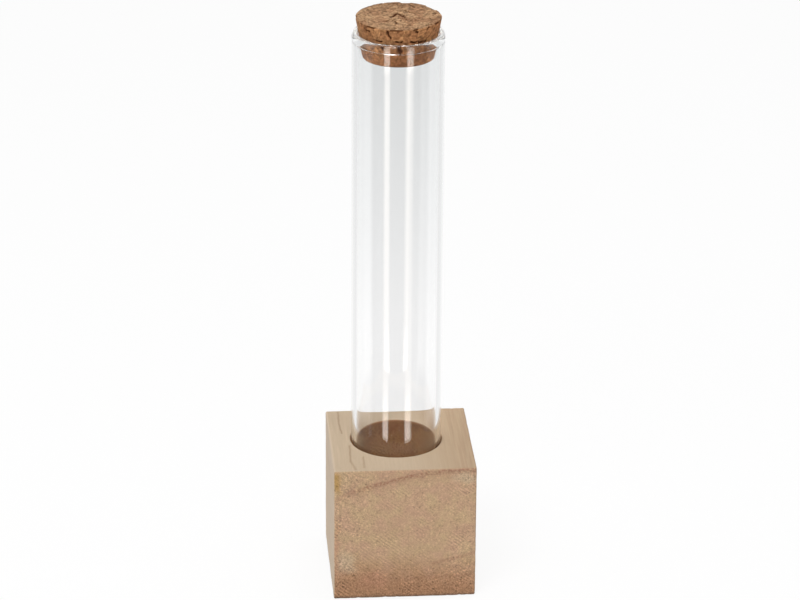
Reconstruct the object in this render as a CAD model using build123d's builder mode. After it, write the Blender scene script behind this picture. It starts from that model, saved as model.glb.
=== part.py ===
from build123d import *
import math
import os

# Test tube vase: a round-bottomed glass tube stands in a bored wooden block, and a tapered cork
# closes its mouth. The tube lifts out of the block and the cork pulls out of the tube.
# Sizes are in millimetres. The origin is the middle of the block's underside, +Z is up and the
# block's end grain faces -Y.

# Wooden block
block_width = 40.0
block_depth = 40.0
block_height = 40.0
block_edge_radius = 0.5
# The bore stands a little off the middle of the block, towards the back left corner
bore_shift_x = -1.1
bore_shift_y = 1.1
bore_depth = 28.5
bore_clearance = 0.2
bore_mouth_chamfer = 0.2
# The drill's centre spur leaves a small cone in the floor of the bore
spur_pit_diameter = 3.0
spur_pit_depth = 1.2

# Glass tube
tube_diameter = 25.5
tube_length = 150.0
tube_wall = 1.5
tube_foot_thickness = 2.0
tube_foot_gap = 0.1
# The fire-polished lip draws in over a shoulder outside. Inside it is a little thicker, down to a
# short cone that runs back to the wall
lip_height = 2.9
lip_bead = 0.35
lip_cone_height = 0.45
lip_shoulder_radius = 4.0
lip_shoulder_degrees = 20.0

# Cork stopper
cork_height = 11.3
cork_stand_height = 4.4
cork_taper_degrees = 10.5
cork_seat_clearance = 0.05
cork_edge_chamfer = 0.3

# Angles of the round profiles and of the chamfer's cone
quarter_turn = 90.0
half_turn = 180.0
chamfer_cone_degrees = 90.0

# The tube's radii, and the bore that takes it with a clearance all round
tube_radius = tube_diameter / 2
tube_inner_radius = tube_radius - tube_wall
bore_radius = tube_radius + bore_clearance
bore_floor_z = block_height - bore_depth

# The lip: its round nose touches the outer shoulder on one side and the mouth on the other
mouth_radius = tube_inner_radius - lip_bead
shoulder_turn = math.radians(lip_shoulder_degrees)
shoulder_draw = lip_shoulder_radius * (1 - math.cos(shoulder_turn))
lip_nose_radius = (tube_radius - mouth_radius - shoulder_draw) / (1 + math.cos(shoulder_turn))

# Heights above the tube's foot
inner_foot_centre_z = tube_foot_thickness + tube_inner_radius
lip_end_z = tube_length - lip_height
lip_cone_z = lip_end_z + lip_cone_height
lip_nose_z = tube_length - lip_nose_radius
shoulder_z = lip_nose_z - (lip_shoulder_radius - lip_nose_radius) * math.sin(shoulder_turn)

# The section plane stands on the tube's foot and holds its axis: X is outwards and Y is up
tube_foot_z = bore_floor_z + tube_foot_gap
tube_section = Plane(
    origin=(bore_shift_x, bore_shift_y, tube_foot_z),
    x_dir=(1, 0, 0),
    z_dir=(0, -1, 0),
)
tube_axis = Axis((bore_shift_x, bore_shift_y, 0), (0, 0, 1))

# The point of the cork's cone that lies nearest to the nose of the lip
cork_taper = math.radians(cork_taper_degrees)
seat_reach = lip_nose_radius + cork_seat_clearance
seat_radius = mouth_radius + lip_nose_radius - seat_reach * math.cos(cork_taper)
seat_z = lip_nose_z + seat_reach * math.sin(cork_taper)

# The cork's ends follow from that point, its taper and how far it stands above the lip
cork_top_z = tube_length + cork_stand_height
cork_bottom_z = cork_top_z - cork_height
cork_top_radius = seat_radius + (cork_top_z - seat_z) * math.tan(cork_taper)
cork_bottom_radius = seat_radius - (seat_z - cork_bottom_z) * math.tan(cork_taper)

os.makedirs("parts", exist_ok=True)


# Wooden block: a cube with eased edges and a blind bore for the tube
with BuildPart() as wooden_block:
    with BuildSketch():
        Rectangle(block_width, block_depth)
    extrude(amount=block_height)
    fillet(wooden_block.edges(), radius=block_edge_radius)
    with Locations((bore_shift_x, bore_shift_y, block_height)):
        CounterSinkHole(
            radius=bore_radius,
            counter_sink_radius=bore_radius + bore_mouth_chamfer,
            depth=bore_depth,
            counter_sink_angle=chamfer_cone_degrees,
        )
    with Locations((bore_shift_x, bore_shift_y, bore_floor_z)):
        Cone(
            bottom_radius=0,
            top_radius=spur_pit_diameter / 2,
            height=spur_pit_depth,
            align=(Align.CENTER, Align.CENTER, Align.MAX),
            mode=Mode.SUBTRACT,
        )

# Glass tube: one wall from the round foot to the lip, turned about the tube's axis
with BuildPart() as glass_tube:
    with BuildSketch(tube_section):
        with BuildLine():
            outer_foot = CenterArc((0, tube_radius), tube_radius, -quarter_turn, quarter_turn)
            outer_wall = Line(outer_foot @ 1, (tube_radius, shoulder_z))
            shoulder = JernArc(
                outer_wall @ 1, outer_wall % 1, lip_shoulder_radius, lip_shoulder_degrees
            )
            nose = JernArc(
                shoulder @ 1, shoulder % 1, lip_nose_radius, half_turn - lip_shoulder_degrees
            )
            mouth = Line(nose @ 1, (mouth_radius, lip_cone_z))
            lip_cone = Line(mouth @ 1, (tube_inner_radius, lip_end_z))
            inner_wall = Line(lip_cone @ 1, (tube_inner_radius, inner_foot_centre_z))
            inner_foot = CenterArc((0, inner_foot_centre_z), tube_inner_radius, 0, -quarter_turn)
            Line(inner_foot @ 1, outer_foot @ 0)
        make_face()
    revolve(axis=tube_axis)

# Cork stopper: a tapered plug with broken edges, turned about the same axis
with BuildPart() as cork_stopper:
    with BuildSketch(tube_section) as cork_profile:
        with BuildLine():
            Polyline(
                (0, cork_bottom_z),
                (cork_bottom_radius, cork_bottom_z),
                (cork_top_radius, cork_top_z),
                (0, cork_top_z),
                close=True,
            )
        make_face()
        cork_corners = cork_profile.vertices().sort_by(Axis.X)[-2:]
        chamfer(cork_corners, length=cork_edge_chamfer)
    revolve(axis=tube_axis)

for name, piece in (
    ("wooden_block", wooden_block),
    ("glass_tube", glass_tube),
    ("cork_stopper", cork_stopper),
):
    piece.part.label = name
    export_step(piece.part, f"parts/{name}.step")
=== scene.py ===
import itertools
import math

import bpy
import numpy as np
from mathutils import Matrix, Vector
from mathutils.kdtree import KDTree


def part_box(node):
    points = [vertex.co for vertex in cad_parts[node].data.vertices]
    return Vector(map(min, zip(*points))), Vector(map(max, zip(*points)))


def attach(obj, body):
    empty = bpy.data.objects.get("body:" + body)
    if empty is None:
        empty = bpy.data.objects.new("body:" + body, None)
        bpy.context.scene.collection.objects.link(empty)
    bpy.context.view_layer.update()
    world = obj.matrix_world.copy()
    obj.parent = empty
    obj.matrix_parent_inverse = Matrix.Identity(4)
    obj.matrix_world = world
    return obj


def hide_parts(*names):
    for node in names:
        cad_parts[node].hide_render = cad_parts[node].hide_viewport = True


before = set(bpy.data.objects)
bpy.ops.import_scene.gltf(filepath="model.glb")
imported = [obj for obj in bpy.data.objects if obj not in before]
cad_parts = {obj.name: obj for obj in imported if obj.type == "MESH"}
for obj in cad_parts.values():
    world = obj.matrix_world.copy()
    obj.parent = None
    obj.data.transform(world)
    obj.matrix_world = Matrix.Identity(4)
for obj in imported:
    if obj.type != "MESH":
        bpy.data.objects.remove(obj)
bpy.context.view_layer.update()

# Lengths are in metres, in the row's frame, and in millimetres only in tables and in materials
MM = 0.001

block_low, block_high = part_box("wooden_block")
tube_low, tube_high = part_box("glass_tube")
cork_low, cork_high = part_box("cork_stopper")
tube_centre = (tube_low + tube_high) / 2
axis_x, axis_y = tube_centre.x, tube_centre.y
tube_radius = (tube_high.x - tube_low.x) / 2
cork_radius = (cork_high.x - cork_low.x) / 2

# Wooden block
block_half = (block_high.x - block_low.x) / 2
block_edge_radius = 0.5 * MM
bore_clearance = 0.2 * MM
bore_radius = tube_radius + bore_clearance
bore_mouth_chamfer = 0.2 * MM
tube_foot_gap = 0.1 * MM
bore_floor_z = tube_low.z - tube_foot_gap
pit_radius = 1.5 * MM
pit_depth = 1.2 * MM
# Steps of the block's mesh
block_side_steps = 96
underside_steps = 16
top_steps = 36
bore_wall_steps = 38
bore_floor_steps = 16

# How deep the patterns of the wood's surface go
pore_depth = 0.05 * MM
fibre_depth = 0.02 * MM
wave_depth = 0.04 * MM
wear_depth = 0.12 * MM
chip_depth = 0.10 * MM
worn_edge_width = 0.6 * MM
wood_bump_height = 0.1 * MM

# Lines in the block's top, where a fibre has torn out: both ends, half width and depth, in mm
torn_lines = (
    ((-16.5, 19.0, 40.0), (-16.7, 12.3, 40.0), 0.45, 0.10),
    ((-16.7, 12.3, 40.0), (-16.3, 4.7, 40.0), 0.40, 0.08),
    ((-14.5, -3.5, 40.0), (-14.9, -14.0, 40.0), 0.45, 0.10),
    ((-14.9, -13.4, 40.0), (-13.8, -19.0, 40.0), 0.50, 0.12),
    ((-11.2, -10.9, 40.0), (-11.4, -18.0, 40.0), 0.40, 0.08),
)

# Faint brown lines in the block's front: both ends and half width in mm, and how dark they are
brown_lines = (
    ((7.9, -20.0, 10.5), (19.7, -20.0, 13.5), 0.7, 0.75),
    ((-1.5, -20.0, 5.8), (18.6, -20.0, 6.7), 0.8, 0.5),
    ((-19.6, -20.0, 31.4), (-12.0, -20.0, 34.2), 2.2, 0.2),
)

# Patches in the block's front: middle, half width and half height, in mm
wood_patches = {
    "ochre": (((-19.3, -20.0, 36.7), 2.5, 5.2),),
    "red": (((-8.5, -20.0, 5.7), 6.0, 4.0), ((-19.6, -20.0, 18.0), 1.6, 15.0)),
    "pale": (((-16.5, -20.0, 11.5), 4.0, 4.5), ((17.0, -20.0, 37.0), 5.0, 2.6)),
    "sawn": (((-6.0, -20.0, 13.0), 14.0, 11.0),),
}
# Three of them are stains: how strong each is, and its colour
wood_stains = {
    "ochre": (1.0, (0.44, 0.27, 0.10)),
    "red": (0.5, (0.46, 0.235, 0.142)),
    "pale": (0.6, (0.53, 0.41, 0.275)),
}

# The growth rings' middle (x, z), and how dark the wood is at some radii from it, all in mm
ring_middle = (19.0, -58.0)
ring_tones = (
    (56.0, 0.15), (60.0, 0.05), (75.0, 0.0), (82.0, 0.08), (82.6, 0.0), (94.6, 0.0),
    (96.2, 0.25), (97.0, 0.85), (97.7, 1.0), (98.2, 0.2), (99.5, 0.12), (102.5, 0.0), (107.0, 0.1),
)
ring_uneven = 0.5
# The rings are fainter at the left: two places along x, in mm, and how much of them shows there
ring_fade = (-20.0, -9.0, 0.4, 1.0)

# The wood's colours. The side grain's go from left to right, and the end grain's mix
side_grain_colours = ((0.515, 0.40, 0.28), (0.462, 0.338, 0.217))
# Painted light: the block's left face is paler, as if lit more from the left
left_face_painted_light = (0.60, 0.475, 0.35)
end_grain_colours = ((0.505, 0.352, 0.205), (0.50, 0.318, 0.205))
low_end_grain_colour = (0.382, 0.209, 0.114)
ring_colour = (0.29, 0.14, 0.085)
torn_colour = (0.30, 0.19, 0.11)
# Tints that multiply them. The bore's, from left to right, is painted shade inside the bore, darker at
# its right where the lamps light it more
bore_painted_shades = ((0.79, 0.56, 0.40), (0.55, 0.385, 0.265))
# A painted contact shadow: a grey tint over the block's bottom millimetre
foot_painted_shadow = (0.6, 0.64, 0.7)
bore_colour_edge = 0.15 * MM

# Where colours and tints give way to each other, in mm along x or up z
side_grain_x = (0.0, 18.0)
left_face_painted_light_x = (-19.2, -19.8)
bore_painted_shade_x = (-9.0, 6.0)
low_end_grain_z = (15.5, 3.0)
foot_painted_shadow_z = (1.2, 0.5)
# How uneven the upper limit of the low end grain is, in mm, and how much it slants
low_limit_uneven = 1.5
low_limit_slant = 0.05

# How much longer the wood's patterns are along its grain, which runs from front to back
grain_stretch = (1, 25, 1)
patch_stretch = (1, 3, 1)
ring_stretch = (1, 30, 1)
# How far apart the bumps of these patterns are, in mm
speckle_size = 0.6
fine_grain_size = 0.32
patch_size = 4.0
rough_patch_size = 9.0
ring_wobble_size = 5.0
ring_dot_size = 0.7
saw_patch_size = 7.0
saw_gap_size = 3.0
light_fleck_size = 0.75
dark_fleck_size = 0.8
# The share of cells with a fleck, and how far the dark flecks lie from the light ones
fleck_share = 0.3
dark_fleck_shift = (7.0, 3.0, 5.0)
saw_slant = math.radians(-38)
# How strongly the parts of the end grain's pattern show
fine_grain_strength = 0.9
speckle_strength = 0.7
fleck_strength = 0.17
saw_strength = 0.2
# How much stronger it gets low down, and between two distances from the middle in mm
low_strength = 0.65
side_strength = (10.0, 18.0, 0.0, 0.45)

# Glass tube
tube_wall = 1.5 * MM
tube_foot_thickness = 2.0 * MM
lip_height = 2.9 * MM
lip_bead = 0.35 * MM
# Inside, the lip's bead runs back to the wall over a small step, an S of two arcs
lip_step = 0.45 * MM
lip_shoulder_radius = 4.0 * MM
lip_shoulder_turn = math.radians(20.0)
glass_ior = 1.5
glass_shadow_grey = 0.96
# Steps of the glass's mesh, round it and in each arc of its profile
glass_sides = 192
glass_wall_spacing = 3 * MM
foot_steps = 32
shoulder_steps = 8
nose_steps = 20
lip_step_steps = 8
# From this height up the glass gets a little greyer, which is painted shade
glass_clear_height = 75 * MM
glass_clear = (1.0, 1.0, 1.0)
glass_painted_shade_at_rim = (0.885, 0.894, 0.896)

# Cork stopper
cork_taper = math.radians(10.5)
cork_chamfer = 0.3 * MM
cork_sides = 344
cork_spacing = 0.21 * MM
cork_granule = 2.9 * MM
granule_border = 0.45 * MM
# How much the pattern of its fibres is squeezed along them, which draws it out
fibre_squeeze = 0.7
# How deep its granules' borders, its grain and the chips of its top edge go
border_depth = 0.16 * MM
grain_depth = 0.07 * MM
rim_chip_depth = 0.35 * MM
# How far from that edge the chips are whole, and how far they reach
rim_chip_reach = (0.2 * MM, 0.9 * MM)
cork_bump_height = 0.15 * MM

# Cracks and pits strewn over the stopper: the ranges of length, half width and depth, in mm
random_marks = 90
random_mark_length = (0.1, 1.5)
random_mark_half_width = (0.25, 0.55)
random_mark_depth = (0.2, 0.6)

# Cracks and pits in the stopper's top: both ends (x, y) from its middle, half width and depth, in mm
cork_top_marks = (
    ((-1.9, -0.6), (-0.4, 2.5), 0.75, 0.7),
    ((0.1, 2.2), (1.5, -0.6), 0.70, 0.7),
    ((2.0, 5.0), (3.4, 2.8), 0.40, 0.5),
    ((-4.2, -4.3), (-2.3, -2.9), 0.35, 0.4),
    ((-2.3, -2.9), (-0.8, -5.1), 0.35, 0.4),
    ((-0.8, -5.1), (-1.6, -7.4), 0.35, 0.4),
    ((8.0, -2.7), (10.4, -2.9), 0.50, 0.6),
    ((7.0, -8.0), (8.4, -7.4), 0.45, 0.5),
    ((4.0, 8.6), (4.8, 7.2), 0.50, 0.6),
    ((-8.2, 7.8), (-6.6, 9.2), 0.45, 0.5),
)

# The same in its side, with both ends in degrees to the right of its front and mm below its top
cork_side_marks = (
    ((-60, 1.2), (-48, 1.7), 0.50, 0.6),
    ((-20, 0.6), (-15, 2.6), 0.45, 0.6),
    ((20, 0.9), (22, 1.3), 0.50, 0.6),
    ((-10, 3.7), (-1, 3.8), 0.50, 0.6),
    ((14, 4.0), (21, 4.1), 0.55, 0.7),
    ((25, 4.2), (38, 4.5), 0.55, 0.7),
    ((-37, 4.0), (-29, 4.1), 0.45, 0.5),
    ((-29, 5.8), (-27, 6.2), 0.75, 0.6),
    ((-4, 5.6), (-2, 6.6), 0.95, 0.7),
    ((38, 5.6), (42, 6.0), 0.80, 0.6),
)

# Painted shade in patches of its side, where it is darker: middle, half width and half height, in mm
cork_painted_shades = (
    ((-0.5, -9.5, 157.0), 7.5, 4.5),
    ((-11.0, -7.0, 163.0), 5.0, 4.0),
)
cork_painted_shade_strength = 0.75

# The cork's colours, the lightest and darkest granule's, and the tints that multiply them, which are
# painted shade at its left and at the back of its top, and painted light low down inside the tube
cork_side_colours = ((0.54, 0.26, 0.108), (0.36, 0.157, 0.066))
cork_end_colours = ((0.38, 0.23, 0.124), (0.28, 0.148, 0.078))
# The colour of the painted shade in patches of its side
cork_painted_shade_colour = (0.27, 0.115, 0.047)
# Cracks, pits, chips and granule borders: partly their own dark, partly painted shade in the hollows
cork_hollow_dark_and_shade = (0.085, 0.028, 0.009)
cork_left_painted_shade = (0.84, 0.88, 0.93)
cork_back_painted_shade = (0.85, 0.85, 0.85)
cork_low_painted_light_tint = (1.0, 0.9, 0.84)
# Where these tints begin and end, in mm along x or y or up z, and where and how much painted light
# brightens it
cork_left_painted_shade_x = (-11.0, 9.0)
cork_back_painted_shade_y = (4.0, 12.0)
cork_low_painted_light_z = (161.0, 158.0)
cork_painted_light_z = (161.0, 156.0)
cork_low_painted_light = 1.15
# How far apart the bumps of its fine grain and of its broad patches are, in mm
cork_grain_size = 0.32
cork_patch_size = 1.0

# Camera
camera_place = (-75.8 * MM, -961.5 * MM, 499.8 * MM)
camera_yaw = math.radians(4.49)
camera_pitch = math.radians(23.38)
camera_roll = math.radians(0.39)
camera_lens_mm = 169.77
camera_sensor_mm = 36.0
camera_nearest = 10 * MM
camera_bearing = math.atan2(camera_place[1] - axis_y, camera_place[0] - axis_x)

# Cards on the floor that the tube's walls reflect, and where they begin and stand up
card_lines = 49
card_near = 25 * MM
card_far = 520 * MM
card_top = 420 * MM
# A card stands nearer by so many times its height, so that a higher one hides the others there too
nearer_by_lift = 5
# The wide one is dark only near the block and where it stands, for the glass in front of the bore and
# for the lip's shoulder. Its glow goes by the distance from the tube, in mm
wide_card_glow = ((25.0, 0.2), (98.0, 0.2), (112.0, 1.0), (440.0, 1.0), (470.0, 0.3))
card_grey = 0.2
# The dark cards from the lowest up: where each shows on the tube, in degrees to the right of its line
# to the camera, its height, how bright its sides and its middle are, and over what share they meet
dark_cards = {
    "wide_card": ((-66.0, 66.0), 0.3 * MM, 1.0, wide_card_glow, 0.1),
    "dark_card": ((-37.0, 43.5), 0.5 * MM, 1.0, card_grey, 0.04),
    "darkest_card": ((-10.5, 10.5), 0.7 * MM, card_grey, 0.1, 0.1),
}
# The bright ones over them make the stripes: where each shows, and over what share it fades
stripe_cards = {
    "left_stripe_card": ((-18.5, -10.0), 0.18),
    "right_stripe_card": ((10.2, 20.8), 0.25),
}
stripe_lift = 0.9 * MM
stripe_top = 800 * MM
stripe_colour = (1.0, 0.93, 0.85)
# How bright they are, by the distance from the tube, in mm
stripe_glow = (
    (25.0, 5.6), (100.0, 5.6), (114.0, 3.0), (135.0, 1.15), (214.0, 1.35), (326.0, 1.75), (380.0, 2.1),
    (418.0, 2.0), (430.0, 4.8), (445.0, 4.2), (480.0, 5.8),
)

# Grey cards behind the tube, whose light its walls bend into its outlines: from which to which turn
# they reach, in degrees from the way the camera looks
side_card = (18.0, 64.0)
side_card_lines = 13
side_card_grey = 0.86
side_card_lift = 0.5 * MM
side_card_soft = 0.25

ceiling_sides = 64
ceiling_radius = 1600 * MM
ceiling_height = 1400 * MM
ceiling_grey = 0.1

# The floor lies a little under the block, and its own white makes up most of what shows of it
floor_sides = 128
floor_radius = 1600 * MM
floor_z = -0.02 * MM
floor_grey = 0.92
floor_white_share = 0.88
world_light = 0.5
world_white = 0.95

# Lamps: place, diameter in metres and power in watts
lamp_target = (0, 0, 80 * MM)
lamps = {
    "key": ((-0.35, -0.55, 0.9), 0.5, 4.5),
    "top": ((0.1, 0.1, 1.1), 0.6, 3.5),
}
# Light in the lip runs down the wall to the foot and back, which takes many bounces
most_bounces = 400

noise_table_size = 4096
noise_primes = np.array((73856093, 19349663, 83492791), dtype=np.int64)

# Random patterns of the wood's surface: how far apart their bumps are, and their seed
pore_pattern = (0.55 * MM, 11)
wood_fibre_pattern = ((0.7 * MM, 9 * MM, 0.7 * MM), 12)
wave_pattern = (9 * MM, 13)
wear_pattern = (2.6 * MM, 14)
chip_pattern = (1.1 * MM, 15)
# The same for the cork
coarse_fibre_pattern = (0.42 * MM, 85)
fine_fibre_pattern = (0.24 * MM, 86)
border_pattern = (2.6 * MM, 92)
ragged_pattern = (0.6 * MM, 94)
rim_chip_pattern = (1.3 * MM, 95)

# What makes forms uneven: how far apart the pushes are, their reach, and the first of three seeds
line_warp = (1.5 * MM, 0.12 * MM, 51)
patch_warp = (2.2 * MM, 0.9 * MM, 55)
granule_warp = (1.2 * MM, 0.45 * MM, 72)
fibre_warp = (1.4 * MM, 0.5 * MM, 82)
mark_warp = (0.8 * MM, 0.3 * MM, 93)

# Seeds of the cork's other draws
mark_seed = 61
granule_seed = 71
fibre_way_seed = 81
tint_seed = 91


def bumps(points, size, seed):
    """Smooth random values from -1 to 1, whose bumps are size apart, one number or one an axis."""
    table = np.random.default_rng(seed).uniform(-1, 1, noise_table_size)
    place = points / size
    corner = np.floor(place).astype(np.int64)
    share = place - corner
    share = share * share * (3 - 2 * share)
    value = np.zeros(len(points))
    for step in itertools.product((0, 1), repeat=3):
        near = corner + np.array(step)
        weight = np.prod(np.where(step, share, 1 - share), axis=1)
        key = np.bitwise_xor.reduce(near * noise_primes, axis=1) % noise_table_size
        value += weight * table[key]
    return value


def warped(points, size, reach, seed):
    """The points, each pushed to and fro, so that what is drawn on them gets uneven."""
    push = np.stack([bumps(points, size, seed + i) for i in range(3)], axis=1)
    return points + push * reach


def smooth_step(value, low, high):
    """0 below low, 1 above high and a smooth rise between them."""
    share = np.clip((value - low) / (high - low), 0, 1)
    return share * share * (3 - 2 * share)


def groove(points, start, end, half_width):
    """1 on the line from start to end, falling to 0 at half_width from it."""
    line = np.array(end) - start
    share = np.clip((points - start) @ line / (line @ line), 0, 1)
    gap = np.linalg.norm(points - start - share[:, None] * line, axis=1)
    return 1 - smooth_step(gap, 0, half_width)


def arc(centre, radius, start, turn, steps):
    """Points of (radius, height) on an arc. Angles are in radians, and 0 points outwards."""
    angles = np.linspace(start, start + turn, steps + 1)
    return [(centre[0] + radius * math.cos(a), centre[1] + radius * math.sin(a)) for a in angles]


def resample(path, spacing):
    """A path of (radius, height) points, with its long stretches cut to about spacing."""
    points = [path[0]]
    for start, end in zip(path, path[1:]):
        count = max(1, round(math.dist(start, end) / spacing))
        for i in range(1, count + 1):
            points.append(tuple(np.array(start) + (np.array(end) - np.array(start)) * i / count))
    return points


def add_object(name, data):
    piece = bpy.data.objects.new(name, data)
    bpy.context.scene.collection.objects.link(piece)
    return piece


def mesh_from_rings(name, rings):
    """A closed mesh from rings of points. The first and last rings are single points."""
    count = len(rings[1])
    points = [rings[0][0]] + [p for ring in rings[1:-1] for p in ring] + [rings[-1][0]]
    faces = []
    for i in range(count):
        j = (i + 1) % count
        faces.append((0, 1 + j, 1 + i))
        for row in range(len(rings) - 3):
            low = 1 + row * count
            high = low + count
            faces.append((low + i, low + j, high + j, high + i))
        last = 1 + (len(rings) - 3) * count
        faces.append((last + i, last + j, len(points) - 1))
    mesh = bpy.data.meshes.new(name)
    mesh.from_pydata([tuple(p) for p in points], [], faces)
    mesh.shade_smooth()
    return add_object(name, mesh)


def circle_points(count, start=0.0):
    """Points of a circle of radius 1, once round from the angle start."""
    angles = np.linspace(start, start + 2 * math.pi, count, endpoint=False)
    return np.stack((np.cos(angles), np.sin(angles)), axis=1)


def lathe(name, profile, sides):
    """A solid turned about the tube's axis. The profile starts and ends on the axis."""
    circle = circle_points(sides)
    rings = []
    for radius, height in profile:
        if radius <= 0:
            rings.append([(axis_x, axis_y, height)])
        else:
            rings.append([(axis_x + radius * c, axis_y + radius * s, height) for c, s in circle])
    return mesh_from_rings(name, rings)


def points_and_normals(piece):
    mesh = piece.data
    points = np.zeros(len(mesh.vertices) * 3)
    mesh.vertices.foreach_get("co", points)
    normals = np.array([n.vector for n in mesh.vertex_normals])
    return points.reshape(-1, 3), normals


def carve(piece, points, normals, depth):
    """Moves the surface inwards by depth, so that the piece stays inside its CAD solid."""
    piece.data.vertices.foreach_set("co", (points - normals * depth[:, None]).ravel())
    piece.data.update()


def add_share(piece, name, values):
    """Stores one number from 0 to 1 at each vertex, for the piece's material."""
    attribute = piece.data.attributes.new(name, "FLOAT", "POINT")
    attribute.data.foreach_set("value", values.astype(np.float32))


def close_at_ends(steps):
    """Shares from -1 to 1 that lie closer together near both ends, where the edges are round."""
    share = np.linspace(-1, 1, steps + 1)
    return (share + np.sin(share * math.pi / 2)) / 2


def ring(flat, height):
    return np.column_stack((flat, np.full(len(flat), height)))


def around_bore():
    """Directions round the bore, one for each point of the block's rings, from the front left."""
    return circle_points(4 * block_side_steps, -0.75 * math.pi)


def block_outside():
    """Rings of a sharp-edged block, up its sides and over its top to the bore's mouth."""
    share = close_at_ends(block_side_steps)[:-1]
    one = np.ones(block_side_steps)
    square = np.concatenate([
        np.stack((share, -one), 1), np.stack((one, share), 1),
        np.stack((-share, one), 1), np.stack((-one, -share), 1),
    ])
    mouth = around_bore() * (bore_radius + bore_mouth_chamfer) + np.array((axis_x, axis_y))
    top = block_high.z
    underside = [square * half for half in np.linspace(0, block_half, underside_steps + 1)[1:-1]]
    over_top = [square * block_half * (1 - t) + mouth * t for t in np.linspace(0, 1, top_steps + 1)[1:]]
    rings = [ring(flat, 0) for flat in underside]
    rings += [ring(square * block_half, top * (1 + s) / 2) for s in close_at_ends(block_side_steps)]
    return rings + [ring(flat, top) for flat in over_top]


def rounded(points):
    """Moves points of a sharp-edged block onto the block with round edges."""
    inner_low = np.array((block_low.x, block_low.y, block_low.z)) + block_edge_radius
    inner_high = np.array((block_high.x, block_high.y, block_high.z)) - block_edge_radius
    core = np.clip(points, inner_low, inner_high)
    away = points - core
    return core + away * (block_edge_radius / np.linalg.norm(away, axis=1))[:, None]


def block_inside():
    """Rings of the bore, from below its mouth to the drill's pit in its floor."""
    wall_top = block_high.z - bore_mouth_chamfer
    path = [
        (bore_radius + bore_mouth_chamfer * (1 - t), block_high.z - bore_mouth_chamfer * t)
        for t in (1 / 3, 2 / 3, 1)
    ]
    path += [(bore_radius, z) for z in np.linspace(wall_top, bore_floor_z, bore_wall_steps + 1)[1:]]
    path += [(r, bore_floor_z) for r in np.linspace(bore_radius, pit_radius, bore_floor_steps + 1)[1:]]
    path += [(pit_radius * (1 - t), bore_floor_z - pit_depth * t) for t in (0.25, 0.5, 0.75)]
    circle = around_bore()
    return [ring(circle * r + np.array((axis_x, axis_y)), z) for r, z in path]


def block_rings():
    """Rings from the middle of the underside, up the sides, over the top and down the bore."""
    outside = [rounded(points) for points in block_outside()]
    pit_point = [(axis_x, axis_y, bore_floor_z - pit_depth)]
    return [[(0, 0, 0)]] + outside + block_inside() + [pit_point]


def edge_nearness(points):
    """1 on the block's outer edges, falling to 0 within about a millimetre of them."""
    gaps = np.stack([
        block_half - np.abs(points[:, 0]),
        block_half - np.abs(points[:, 1]),
        np.minimum(points[:, 2], block_high.z - points[:, 2]),
    ])
    second = np.sort(gaps, axis=0)[1]
    return np.exp(-((second / worn_edge_width) ** 2))


def drawn_lines(points, lines):
    """Where the lines lie, from 0 to 1, and the same times each line's last number."""
    uneven = warped(points, *line_warp)
    shade = np.zeros(len(points))
    scaled = np.zeros(len(points))
    for start, end, half_width, factor in lines:
        share = groove(uneven, np.array(start) * MM, np.array(end) * MM, half_width * MM)
        shade = np.maximum(shade, share)
        scaled = np.maximum(scaled, share * factor)
    return shade, scaled


def patched(points, patches):
    """Where the patches lie: 1 in the middle of each, falling to 0 at its uneven edge."""
    uneven = warped(points, *patch_warp)
    share = np.zeros(len(points))
    for middle, half_width, half_height in patches:
        reach = np.array((half_width, half_width, half_height)) * MM
        gap = np.linalg.norm((uneven - np.array(middle) * MM) / reach, axis=1)
        share = np.maximum(share, 1 - smooth_step(gap, 0.3, 1.0))
    return share


def wood_relief(points, end_grain):
    """How deep the sawn and worn surface of the block lies under its ideal one."""
    pores = smooth_step(bumps(points, *pore_pattern), 0.1, 0.8)
    fibres = smooth_step(bumps(points, *wood_fibre_pattern), 0, 0.9)
    waves = bumps(points, *wave_pattern) * 0.5 + 0.5
    wear = np.clip(bumps(points, *wear_pattern), 0, 1)
    chips = smooth_step(bumps(points, *chip_pattern), 0.35, 0.8)
    return (
        end_grain * pores * pore_depth
        + (1 - end_grain) * fibres * fibre_depth
        + waves * wave_depth
        + edge_nearness(points) * (wear * wear_depth + chips * chip_depth)
    )


def make_block():
    piece = mesh_from_rings("sawn_block", block_rings())
    points, normals = points_and_normals(piece)
    end_grain = smooth_step(np.abs(normals[:, 1]), 0.5, 0.9)
    from_axis = np.hypot(points[:, 0] - axis_x, points[:, 1] - axis_y)
    torn, torn_depth = drawn_lines(points, torn_lines)
    add_share(piece, "end_grain", end_grain)
    in_bore = 1 - smooth_step(from_axis, bore_radius, bore_radius + bore_colour_edge)
    add_share(piece, "in_bore", in_bore)
    add_share(piece, "torn", torn)
    add_share(piece, "brown_line", drawn_lines(points, brown_lines)[1])
    for name, patches in wood_patches.items():
        add_share(piece, name, patched(points, patches))
    carve(piece, points, normals, wood_relief(points, end_grain) + torn_depth * MM)
    piece.data.materials.append(wood_material())
    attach(piece, "block")
    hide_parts("wooden_block")


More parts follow.
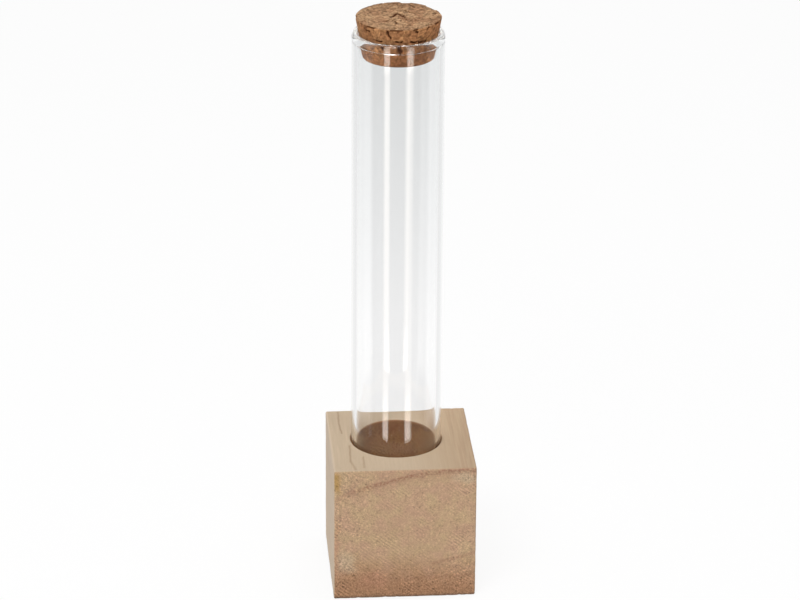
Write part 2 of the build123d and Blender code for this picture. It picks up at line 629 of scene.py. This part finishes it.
def glass_profile():
    """The glass wall from the outside of its foot, over the lip and back to the inside of its foot."""
    inner_radius = tube_radius - tube_wall
    mouth_radius = inner_radius - lip_bead
    draw = lip_shoulder_radius * (1 - math.cos(lip_shoulder_turn))
    nose_radius = (tube_radius - mouth_radius - draw) / (1 + math.cos(lip_shoulder_turn))
    nose_z = tube_high.z - nose_radius
    shoulder_z = nose_z - (lip_shoulder_radius - nose_radius) * math.sin(lip_shoulder_turn)
    lip_end_z = tube_high.z - lip_height
    quarter = math.pi / 2

    outer_foot = arc((0, tube_low.z + tube_radius), tube_radius, -quarter, quarter, foot_steps)
    outer_foot[0] = (0, tube_low.z)
    shoulder_centre = (tube_radius - lip_shoulder_radius, shoulder_z)
    shoulder = arc(shoulder_centre, lip_shoulder_radius, 0, lip_shoulder_turn, shoulder_steps)
    nose_centre = (mouth_radius + nose_radius, nose_z)
    nose_turn = math.pi - lip_shoulder_turn
    nose = arc(nose_centre, nose_radius, lip_shoulder_turn, nose_turn, nose_steps)
    step_radius = (lip_step**2 + lip_bead**2) / (4 * lip_bead)
    step_turn = math.asin(lip_step / 2 / step_radius)
    upper_centre = (mouth_radius + step_radius, lip_end_z + lip_step)
    lower_centre = (inner_radius - step_radius, lip_end_z)
    step = arc(upper_centre, step_radius, math.pi, step_turn, lip_step_steps)
    step += arc(lower_centre, step_radius, step_turn, -step_turn, lip_step_steps)[1:]
    foot_centre_z = tube_low.z + tube_foot_thickness + inner_radius
    inner_foot = arc((0, foot_centre_z), inner_radius, 0, -quarter, foot_steps)
    inner_foot[-1] = (0, tube_low.z + tube_foot_thickness)
    outer_wall = resample([outer_foot[-1], shoulder[0]], glass_wall_spacing)[1:-1]
    inner_wall = resample([step[-1], inner_foot[0]], glass_wall_spacing)[1:-1]
    return outer_foot + outer_wall + shoulder + nose[1:] + step + inner_wall + inner_foot


def make_glass():
    piece = lathe("clear_tube", glass_profile(), glass_sides)
    piece.data.materials.append(glass_material())
    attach(piece, "tube")
    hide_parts("glass_tube")


def cork_profile():
    """The cork's outline from the middle of its underside to the middle of its top."""
    top_corner = cork_radius + cork_chamfer * math.sin(cork_taper)
    bottom_corner = top_corner - (cork_high.z - cork_low.z) * math.tan(cork_taper)
    along = np.array((math.sin(cork_taper), math.cos(cork_taper))) * cork_chamfer
    corners = [
        (0, cork_low.z),
        (bottom_corner - cork_chamfer, cork_low.z),
        (bottom_corner + along[0], cork_low.z + along[1]),
        (top_corner - along[0], cork_high.z - along[1]),
        (top_corner - cork_chamfer, cork_high.z),
        (0, cork_high.z),
    ]
    return resample(corners, cork_spacing)


def on_cork_top(place):
    return np.array((axis_x + place[0] * MM, axis_y + place[1] * MM, cork_high.z))


def on_cork_side(place):
    """A place on the cork's side, from degrees to the right of its front and mm below its top."""
    turn = math.radians(place[0] - 90)
    radius = cork_radius - place[1] * MM * math.tan(cork_taper)
    height = cork_high.z - place[1] * MM
    return np.array((axis_x + radius * math.cos(turn), axis_y + radius * math.sin(turn), height))


def random_cork_marks(points):
    """Cracks and pits strewn over the cork: both ends, half width and depth."""
    rng = np.random.default_rng(mark_seed)
    marks = []
    for place in points[rng.integers(len(points), size=random_marks)]:
        way = rng.normal(size=3)
        length = rng.uniform(*random_mark_length) * MM
        end = place + way / np.linalg.norm(way) * length
        half_width = rng.uniform(*random_mark_half_width) * MM
        marks.append((place, end, half_width, rng.uniform(*random_mark_depth) * MM))
    return marks


def named_cork_marks():
    marks = []
    for on_face, table in ((on_cork_top, cork_top_marks), (on_cork_side, cork_side_marks)):
        for start, end, half_width, depth in table:
            marks.append((on_face(start), on_face(end), half_width * MM, depth * MM))
    return marks


def cork_granules(points):
    """Each point's granule, and how near it is to the next granule, from 0 to 1."""
    rng = np.random.default_rng(granule_seed)
    low = np.array(cork_low) - cork_granule
    high = np.array(cork_high) + cork_granule
    count = int(np.prod((high - low) / cork_granule))
    tree = KDTree(count)
    for i, place in enumerate(rng.uniform(low, high, size=(count, 3))):
        tree.insert(place, i)
    tree.balance()
    uneven = warped(points, *granule_warp)
    found = [tree.find_n(point, 2) for point in uneven]
    number = np.array([first[1] for first, second in found])
    border = np.array([second[2] - first[2] for first, second in found])
    return number, 1 - smooth_step(border, 0, granule_border)


def cork_fibres(points, number):
    """Fine grain that runs another way in each granule, from -1 to 1."""
    ways = np.random.default_rng(fibre_way_seed).normal(size=(number.max() + 1, 3))
    ways /= np.linalg.norm(ways, axis=1)[:, None]
    way = ways[number]
    uneven = warped(points, *fibre_warp)
    along = np.sum(uneven * way, axis=1)
    squeezed = uneven - fibre_squeeze * along[:, None] * way
    coarse = bumps(squeezed, *coarse_fibre_pattern)
    fine = bumps(squeezed, *fine_fibre_pattern)
    return (coarse + 0.5 * fine) / 1.5


def rim_chips(points):
    """Where bits have broken out of the cork's top edge, from 0 to 1."""
    from_axis = np.hypot(points[:, 0] - axis_x, points[:, 1] - axis_y)
    gap = np.hypot(from_axis - cork_radius, points[:, 2] - cork_high.z)
    near = 1 - smooth_step(gap, *rim_chip_reach)
    return near * smooth_step(bumps(points, *rim_chip_pattern), 0.05, 0.5)


def make_cork():
    piece = lathe("pitted_cork", cork_profile(), cork_sides)
    points, normals = points_and_normals(piece)
    cut_end = smooth_step(np.abs(normals[:, 2]), 0.3, 0.9)
    number, border = cork_granules(points)
    tint = np.random.default_rng(tint_seed).uniform(0, 1, number.max() + 1)[number]
    fibres = cork_fibres(points, number)
    border *= smooth_step(bumps(points, *border_pattern), -0.1, 0.6)
    chips = rim_chips(points)
    uneven = warped(points, *mark_warp)
    ragged = 0.35 + 0.65 * smooth_step(bumps(points, *ragged_pattern), -0.5, 0.1)
    hollow = np.maximum(border * (0.5 - 0.3 * cut_end), chips)
    depth = border * border_depth + (0.5 - fibres / 2) * grain_depth + chips * rim_chip_depth
    # The marks with a place in a table are fuller and less ragged
    kinds = ((1, ragged, random_cork_marks(points)), (1.5, 0.6 + 0.4 * ragged, named_cork_marks()))
    for fullness, whole, marks in kinds:
        for start, end, half_width, deep in marks:
            share = np.minimum(fullness * groove(uneven, start, end, half_width), 1) * whole
            hollow = np.maximum(hollow, share)
            depth = np.maximum(depth, share * deep)
    carve(piece, points, normals, depth)
    add_share(piece, "hollow", hollow)
    add_share(piece, "tint", tint)
    add_share(piece, "fibres", fibres / 2 + 0.5)
    add_share(piece, "cut_end", cut_end)
    # Where painted shade darkens patches of its side
    add_share(piece, "overlaid", patched(points, cork_painted_shades))
    piece.data.materials.append(cork_material())
    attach(piece, "stopper")
    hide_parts("cork_stopper")


def new_material(name):
    """A material with its node tree and its Principled shader."""
    material = bpy.data.materials.new(name)
    material.use_nodes = True
    tree = material.node_tree
    return material, tree, tree.nodes["Principled BSDF"]


def fill_inputs(tree, node, inputs):
    """Gives the node's sockets, by name or number, a value or another node's output."""
    for key, value in inputs.items():
        if isinstance(value, bpy.types.NodeSocket):
            tree.links.new(value, node.inputs[key])
        else:
            node.inputs[key].default_value = value


def add_node(tree, kind, inputs=None, **settings):
    node = tree.nodes.new("ShaderNode" + kind)
    for key, value in settings.items():
        setattr(node, key, value)
    fill_inputs(tree, node, inputs or {})
    return node


def mix_surface(tree, share, first, second, output="Material Output"):
    """Makes a mix of two shaders what the material or the world shows."""
    mix = add_node(tree, "MixShader", {0: share, 1: first, 2: second})
    tree.links.new(mix.outputs[0], tree.nodes[output].inputs["Surface"])


def glow_of(tree, strength, colour=(1, 1, 1)):
    return add_node(tree, "Emission", {"Color": rgba(colour), "Strength": strength}).outputs[0]


def calculate(tree, operation, first, second=0.0, clamp=False):
    node = add_node(tree, "Math", {0: first, 1: second}, operation=operation, use_clamp=clamp)
    return node.outputs[0]


def plus(tree, first, second):
    return calculate(tree, "ADD", first, second)


def times(tree, first, second):
    return calculate(tree, "MULTIPLY", first, second)


def centred(tree, value):
    """A value from 0 to 1, moved to -0.5 to 0.5."""
    return calculate(tree, "SUBTRACT", value, 0.5)


def between(tree, value, low, high, start=0.0, end=1.0):
    """Goes smoothly from start to end while value goes from low to high."""
    inputs = {0: value, 1: low, 2: high, 3: start, 4: end}
    return add_node(tree, "MapRange", inputs, interpolation_type="SMOOTHSTEP").outputs[0]


def blend(tree, share, first, second, way="MIX"):
    """A colour between two, or the first changed by the second as way says."""
    inputs = {0: share, 6: rgba(first), 7: rgba(second)}
    return add_node(tree, "Mix", inputs, data_type="RGBA", blend_type=way).outputs[2]


def rgba(colour):
    return colour if isinstance(colour, bpy.types.NodeSocket) else (*colour, 1.0)


def tinted(tree, share, colour, tint):
    """The colour times a share of the tint."""
    return blend(tree, share, colour, tint, way="MULTIPLY")


def brightened(tree, colour, bright):
    factor = add_node(tree, "CombineColor", {0: bright, 1: bright, 2: bright}).outputs[0]
    return tinted(tree, 1.0, colour, factor)


def share_of(tree, name):
    return add_node(tree, "Attribute", attribute_name=name).outputs["Fac"]


def overlaid(tree, colour, name, strength, overlay_colour):
    """The colour with another laid over it where the piece's share of that name is: stains, and painted
    shade on the cork.
    """
    return blend(tree, times(tree, share_of(tree, name), strength), colour, overlay_colour)


def x_y_z_of(tree, place):
    return add_node(tree, "SeparateXYZ", {0: place}).outputs


def place_on_piece(tree):
    """The place on the piece at rest, in metres of the row's frame."""
    return add_node(tree, "TexCoord").outputs["Object"]


def millimetres(tree):
    """The same in millimetres."""
    inputs = {0: place_on_piece(tree), "Scale": 1 / MM}
    return add_node(tree, "VectorMath", inputs, operation="SCALE").outputs[0]


def vector_math(tree, operation, place, other):
    """The three numbers of a place, each with its own of the other."""
    return add_node(tree, "VectorMath", {0: place, 1: other}, operation=operation).outputs[0]


def stretched(tree, place, stretch):
    return vector_math(tree, "MULTIPLY", place, tuple(1 / s for s in stretch))


def noise(tree, place, size, detail=2.0, roughness=0.5):
    """Noise with bumps about size millimetres apart."""
    inputs = {"Vector": place, "Scale": 1 / size, "Detail": detail, "Roughness": roughness}
    return add_node(tree, "TexNoise", inputs).outputs[0]


def ramp(tree, value, stops):
    """A grey ramp through stops of (value, grey)."""
    low, high = stops[0][0], stops[-1][0]
    share = add_node(tree, "MapRange", {0: value, 1: low, 2: high}).outputs[0]
    node = add_node(tree, "ValToRGB", {0: share})
    elements = node.color_ramp.elements
    while len(elements) < len(stops):
        elements.new(1.0)
    for element, (at, grey) in zip(elements, stops):
        element.position = (at - low) / (high - low)
        element.color = (grey, grey, grey, 1)
    return node.outputs[0]


def ring_shade(tree, place, speckle):
    """How dark the growth rings make the wood."""
    across = stretched(tree, place, ring_stretch)
    wobble = times(tree, noise(tree, across, ring_wobble_size), 2 * ring_uneven)
    from_middle = vector_math(tree, "SUBTRACT", place, (ring_middle[0], 0, ring_middle[1]))
    flat = vector_math(tree, "MULTIPLY", from_middle, (1, 0, 1))
    radius = add_node(tree, "VectorMath", {0: flat}, operation="LENGTH").outputs["Value"]
    radius = calculate(tree, "SUBTRACT", plus(tree, radius, wobble), ring_uneven)
    fade = between(tree, x_y_z_of(tree, place)[0], *ring_fade)
    tone = times(tree, ramp(tree, radius, ring_tones), fade)
    tone = calculate(tree, "MAXIMUM", tone, share_of(tree, "brown_line"))
    dots = between(tree, noise(tree, across, ring_dot_size, detail=1.0), 0.35, 0.6, 0.25, 1.0)
    tone = times(tree, tone, dots)
    return calculate(tree, "MULTIPLY", tone, between(tree, speckle, 0.3, 0.7, 0.5, 1.1), clamp=True)


def saw_marks(tree, place):
    """Fine slanting lines that a saw leaves in patches of the end grain, from -0.5 to 0.5."""
    uneven = noise(tree, place, saw_gap_size)
    turned = add_node(tree, "Mapping", {"Vector": place, "Rotation": (0, saw_slant, 0)}).outputs[0]
    inputs = {"Vector": turned, "Scale": 0.37, "Distortion": 2.5, "Detail": 2.0, "Detail Scale": 1.2}
    lines = add_node(tree, "TexWave", inputs, wave_type="BANDS", bands_direction="Z").outputs[1]
    patches = between(tree, noise(tree, place, saw_patch_size), 0.48, 0.62)
    patches = calculate(tree, "MAXIMUM", patches, share_of(tree, "sawn"))
    broken = times(tree, patches, between(tree, uneven, 0.35, 0.55))
    return times(tree, centred(tree, lines), broken)


def flecks(tree, place, size):
    """Spots in a share of the small cells that fill the wood, and 0 elsewhere."""
    cells = add_node(tree, "TexVoronoi", {"Vector": place, "Scale": 1 / size})
    value = add_node(tree, "SeparateColor", {0: cells.outputs["Color"]}).outputs[0]
    spot = between(tree, cells.outputs["Distance"], 0.55, 0.2)
    chosen = between(tree, value, 1 - fleck_share, 1 - 0.6 * fleck_share)
    return times(tree, times(tree, chosen, spot), fleck_strength)


def wood_grain(tree, place, speckle, low):
    """How much brighter or darker than its colour the end grain is from spot to spot."""
    fibres = stretched(tree, place, grain_stretch)
    fine = centred(tree, noise(tree, fibres, fine_grain_size, roughness=0.8))
    coarse = times(tree, centred(tree, speckle), speckle_strength)
    grain = plus(tree, times(tree, fine, fine_grain_strength), coarse)
    light = flecks(tree, fibres, light_fleck_size)
    dark = flecks(tree, vector_math(tree, "ADD", fibres, dark_fleck_shift), dark_fleck_size)
    grain = plus(tree, grain, calculate(tree, "SUBTRACT", light, dark))
    grain = plus(tree, grain, times(tree, saw_marks(tree, place), saw_strength))
    rough_patches = noise(tree, stretched(tree, place, patch_stretch), rough_patch_size)
    rough = between(tree, rough_patches, 0.38, 0.62, 0.75, 1.25)
    from_middle = calculate(tree, "ABSOLUTE", x_y_z_of(tree, place)[0])
    rough = plus(tree, rough, between(tree, from_middle, *side_strength))
    rough = plus(tree, rough, times(tree, low, low_strength))
    return times(tree, grain, rough)


def side_grain_colour(tree, x):
    side = blend(tree, between(tree, x, *side_grain_x), *side_grain_colours)
    # Painted light makes the left face paler, up to its edges
    return blend(tree, between(tree, x, *left_face_painted_light_x), side, left_face_painted_light)


def end_grain_colour(tree, patches, low):
    end = blend(tree, between(tree, patches, 0.3, 0.7), *end_grain_colours)
    end = blend(tree, low, end, low_end_grain_colour)
    for name, (strength, overlay_colour) in wood_stains.items():
        end = overlaid(tree, end, name, strength, overlay_colour)
    return end


def wood_material():
    """Pale sawn hardwood: speckled end grain, smooth side grain, faint rings and a bore darkened by
    painted shade.
    """
    material, tree, shader = new_material("block_wood")
    place = millimetres(tree)
    x, _, z = x_y_z_of(tree, place)
    end_grain = share_of(tree, "end_grain")
    in_bore = share_of(tree, "in_bore")
    speckle = noise(tree, stretched(tree, place, grain_stretch), speckle_size, detail=3.0, roughness=0.75)
    patches = noise(tree, stretched(tree, place, patch_stretch), patch_size, detail=3.0)

    # The front gets darker and redder towards its foot, along an uneven and slightly slanting line
    uneven_z = plus(tree, z, between(tree, patches, 0.2, 0.8, -low_limit_uneven, low_limit_uneven))
    uneven_z = plus(tree, uneven_z, times(tree, x, low_limit_slant))
    low = between(tree, uneven_z, *low_end_grain_z)
    colour = blend(tree, end_grain, side_grain_colour(tree, x), end_grain_colour(tree, patches, low))

    # The rings show less on side grain, and less again in the bore
    rings = ring_shade(tree, place, speckle)
    rings = times(tree, rings, between(tree, in_bore, 0.0, 1.0, 1.0, 0.35))
    rings = times(tree, rings, between(tree, end_grain, 0.0, 1.0, 0.5, 1.0))
    colour = blend(tree, rings, colour, ring_colour)
    colour = overlaid(tree, colour, "torn", 0.6, torn_colour)

    grain = wood_grain(tree, place, speckle, low)
    grain = times(tree, grain, between(tree, end_grain, 0.0, 1.0, 0.15, 1.0))
    colour = brightened(tree, colour, plus(tree, grain, 1.0))
    # Painted shade inside the bore, darker at its right
    bore_shade = blend(tree, between(tree, x, *bore_painted_shade_x), *bore_painted_shades)
    colour = tinted(tree, in_bore, colour, bore_shade)
    # A painted contact shadow along the block's foot
    colour = tinted(tree, between(tree, z, *foot_painted_shadow_z), colour, foot_painted_shadow)

    bump = add_node(tree, "Bump", {"Strength": 0.4, "Distance": wood_bump_height, "Height": grain})
    fill_inputs(tree, shader, {
        "Base Color": colour,
        "Roughness": between(tree, speckle, 0.2, 0.8, 0.75, 0.6),
        "Specular IOR Level": 0.3,
        "Normal": bump.outputs[0],
    })
    return material


def cork_material():
    """Cork: granules of slightly different browns, fine grain, dark cracks and pits, and painted light
    and shade.
    """
    material, tree, shader = new_material("cork")
    place = millimetres(tree)
    x, y, z = x_y_z_of(tree, place)
    fine = noise(tree, place, cork_grain_size, detail=3.0, roughness=0.7)
    tint = share_of(tree, "tint")
    cut_end = share_of(tree, "cut_end")

    side = blend(tree, tint, *cork_side_colours)
    # Painted shade darkens its left side
    side = tinted(tree, between(tree, x, *cork_left_painted_shade_x, 1.0, 0.0), side, cork_left_painted_shade)
    # Painted shade in patches of its side
    side = overlaid(tree, side, "overlaid", cork_painted_shade_strength, cork_painted_shade_colour)
    end = blend(tree, tint, *cork_end_colours)
    # Painted shade darkens the back of its top
    end = tinted(tree, between(tree, y, *cork_back_painted_shade_y), end, cork_back_painted_shade)
    colour = blend(tree, cut_end, side, end)

    grain = plus(tree, centred(tree, share_of(tree, "fibres")), centred(tree, fine))
    grain = times(tree, grain, between(tree, cut_end, 0.0, 1.0, 1.4, 1.7))
    broad = noise(tree, place, cork_patch_size, detail=1.0)
    grain = plus(tree, grain, between(tree, broad, 0.3, 0.7, -0.2, 0.2))
    # Inside the tube it is a little brighter and redder: painted light, for the light that reaches it
    # through the glass
    bright = plus(tree, grain, between(tree, z, *cork_painted_light_z, 1.0, cork_low_painted_light))
    colour = brightened(tree, colour, bright)
    colour = tinted(tree, between(tree, z, *cork_low_painted_light_z), colour, cork_low_painted_light_tint)
    # Its cracks, pits, chips and granule borders are dark: partly their own colour, partly painted shade
    hollow = between(tree, share_of(tree, "hollow"), 0.1, 0.75)
    colour = blend(tree, hollow, colour, cork_hollow_dark_and_shade)

    bump = add_node(tree, "Bump", {"Strength": 0.6, "Distance": cork_bump_height, "Height": fine})
    fill_inputs(tree, shader, {
        "Base Color": colour,
        "Roughness": 0.8,
        "Specular IOR Level": 0.1,
        "Normal": bump.outputs[0],
    })
    return material


def glass_material():
    """Clear glass. Rays from lamps pass straight through it, so that they reach what it shuts in."""
    material, tree, shader = new_material("clear_glass")
    # Painted shade greys the glass towards its rim
    z = x_y_z_of(tree, place_on_piece(tree))[2]
    share = add_node(tree, "MapRange", {0: z, 1: glass_clear_height, 2: tube_high.z}).outputs[0]
    fill_inputs(tree, shader, {
        "Base Color": blend(tree, share, glass_clear, glass_painted_shade_at_rim),
        "Transmission Weight": 1.0,
        "Roughness": 0.0,
        "IOR": glass_ior,
    })
    to_lamp = add_node(tree, "LightPath").outputs["Is Shadow Ray"]
    clear = add_node(tree, "BsdfTransparent", {"Color": rgba([glass_shadow_grey] * 3)}).outputs[0]
    mix_surface(tree, to_lamp, shader.outputs[0], clear)
    return material


def seen_directly(tree):
    """1 for rays that show the background: the camera's own and those through or off glass."""
    path = add_node(tree, "LightPath").outputs
    direct = plus(tree, path["Is Camera Ray"], path["Is Glossy Ray"])
    return calculate(tree, "ADD", direct, path["Is Transmission Ray"], clamp=True)


def add_disc(name, sides, radius, height):
    place = (0, 0, height)
    bpy.ops.mesh.primitive_circle_add(vertices=sides, radius=radius, fill_type="NGON", location=place)
    disc = bpy.context.object
    disc.name = name
    return disc


def make_floor():
    """A white floor. Rays that show the background see it nearly white, with the object's shadow."""
    floor = add_disc("floor", floor_sides, floor_radius, floor_z)
    material, tree, shader = new_material("floor")
    fill_inputs(tree, shader, {
        "Base Color": rgba([floor_grey] * 3),
        "Roughness": 1.0,
        "Specular IOR Level": 0.0,
    })
    share = times(tree, seen_directly(tree), floor_white_share)
    mix_surface(tree, share, shader.outputs[0], glow_of(tree, 1.0))
    floor.data.materials.append(material)


def make_world():
    """Soft light from all round, which shows as nearly white behind the object and in the glass."""
    world = bpy.data.worlds.new("studio")
    bpy.context.scene.world = world
    world.use_nodes = True
    tree = world.node_tree
    light = tree.nodes["Background"]
    fill_inputs(tree, light, {"Color": (1, 1, 1, 1), "Strength": world_light})
    white = add_node(tree, "Background", {"Color": (1, 1, 1, 1), "Strength": world_white}).outputs[0]
    mix_surface(tree, seen_directly(tree), light.outputs[0], white, output="World Output")


def card_mesh(name, ways, lift, top):
    """A card that stands up at its far end. ways says in degrees where each line starts and runs to."""
    points, across, reaches = [], [], []
    stands_at = card_far - nearer_by_lift * lift
    for i, (start, way) in enumerate(ways):
        on_tube, away = camera_bearing + math.radians(start), camera_bearing + math.radians(way)
        for reach, height in ((card_near, lift), (stands_at, lift), (stands_at, top)):
            points.append((
                axis_x + tube_radius * math.cos(on_tube) + reach * math.cos(away),
                axis_y + tube_radius * math.sin(on_tube) + reach * math.sin(away),
                height,
            ))
            across.append(i / (len(ways) - 1))
            reaches.append(reach / MM)
    faces = []
    for i, j in itertools.product(range(len(ways) - 1), range(2)):
        corner = 3 * i + j
        faces.append((corner, corner + 1, corner + 4, corner + 3))
    mesh = bpy.data.meshes.new(name)
    mesh.from_pydata(points, [], faces)
    card = add_object(name, mesh)
    add_share(card, "across", np.array(across))
    add_share(card, "reach", np.array(reaches))
    return card


def reflected_ways(turns):
    """The lines of a card that the tube's round shows between two turns from the camera's side."""
    return [(turn, 2 * turn) for turn in np.linspace(*turns, card_lines)]


def show_in_reflections(piece, material, light):
    """Finishes a piece of the stage that shows only where glass reflects it."""
    tree = material.node_tree
    reflected = calculate(tree, "MINIMUM", add_node(tree, "LightPath").outputs["Glossy Depth"], 1.0)
    clear = add_node(tree, "BsdfTransparent").outputs[0]
    mix_surface(tree, reflected, clear, light)
    material.cycles.emission_sampling = "NONE"
    piece.data.materials.append(material)
    piece.visible_camera = False
    piece.visible_diffuse = False
    piece.visible_shadow = False


def make_ceiling():
    """A dark ceiling, without which the lip's thin lines of light turn white all round."""
    ceiling = add_disc("ceiling", ceiling_sides, ceiling_radius, ceiling_height)
    material, tree, _ = new_material("ceiling")
    show_in_reflections(ceiling, material, glow_of(tree, ceiling_grey))


def make_card(name, ways, lift, edge_glow, glow, soft, colour=(1, 1, 1), top=card_top):
    """A reflector card. Its sides fade to edge_glow from glow, a number or stops of reach and glow."""
    card = card_mesh(name, ways, lift, top)
    material, tree, _ = new_material(name)
    across = share_of(tree, "across")
    sides = times(tree, between(tree, across, 0, soft), between(tree, across, 1, 1 - soft))
    if isinstance(glow, tuple):
        highest = max(bright for reach, bright in glow)
        stops = [(reach, bright / highest) for reach, bright in glow]
        glow = times(tree, ramp(tree, share_of(tree, "reach"), stops), highest)
    strength = add_node(tree, "Mix", {0: sides, 2: edge_glow, 3: glow}).outputs[0]
    show_in_reflections(card, material, glow_of(tree, strength, colour))


def make_cards():
    """The cards in front of the tube lie in layers, and each hides those under it."""
    for name, (turns, lift, edge_glow, glow, soft) in dark_cards.items():
        make_card(name, reflected_ways(turns), lift, edge_glow, glow, soft)
    for name, (turns, soft) in stripe_cards.items():
        ways = reflected_ways(turns)
        make_card(name, ways, stripe_lift, card_grey, stripe_glow, soft, stripe_colour, stripe_top)
    for name, side in (("left_side_card", -1), ("right_side_card", 1)):
        turns = np.linspace(*side_card, side_card_lines)
        ways = [(180 - side * turn, 180 - side * turn) for turn in turns]
        make_card(name, ways, side_card_lift, 1.0, side_card_grey, side_card_soft)


def add_lamp(name, place, size, power):
    data = bpy.data.lights.new(name, "AREA")
    data.shape = "DISK"
    data.size = size
    data.energy = power
    lamp = add_object(name, data)
    lamp.location = place
    lamp.rotation_euler = (Vector(lamp_target) - Vector(place)).to_track_quat("-Z", "Y").to_euler()


def make_camera():
    data = bpy.data.cameras.new("camera")
    data.lens = camera_lens_mm
    data.sensor_width = camera_sensor_mm
    data.sensor_fit = "HORIZONTAL"
    data.clip_start = camera_nearest
    camera = add_object("camera", data)
    ahead = Vector((
        math.sin(camera_yaw) * math.cos(camera_pitch),
        math.cos(camera_yaw) * math.cos(camera_pitch),
        -math.sin(camera_pitch),
    ))
    level = Vector((math.cos(camera_yaw), -math.sin(camera_yaw), 0))
    up = level.cross(ahead)
    right = math.cos(camera_roll) * level + math.sin(camera_roll) * up
    top = math.cos(camera_roll) * up - math.sin(camera_roll) * level
    turn = Matrix((right, top, -ahead)).transposed()
    camera.matrix_world = Matrix.Translation(camera_place) @ turn.to_4x4()
    bpy.context.scene.camera = camera


bpy.context.scene.view_settings.view_transform = "Standard"
cycles = bpy.context.scene.cycles
cycles.max_bounces = cycles.glossy_bounces = cycles.transmission_bounces = most_bounces
make_camera()
make_world()
make_floor()
make_cards()
make_ceiling()
for lamp_name, (lamp_place, lamp_size, lamp_power) in lamps.items():
    add_lamp(lamp_name, lamp_place, lamp_size, lamp_power)
make_block()
make_glass()
make_cork()
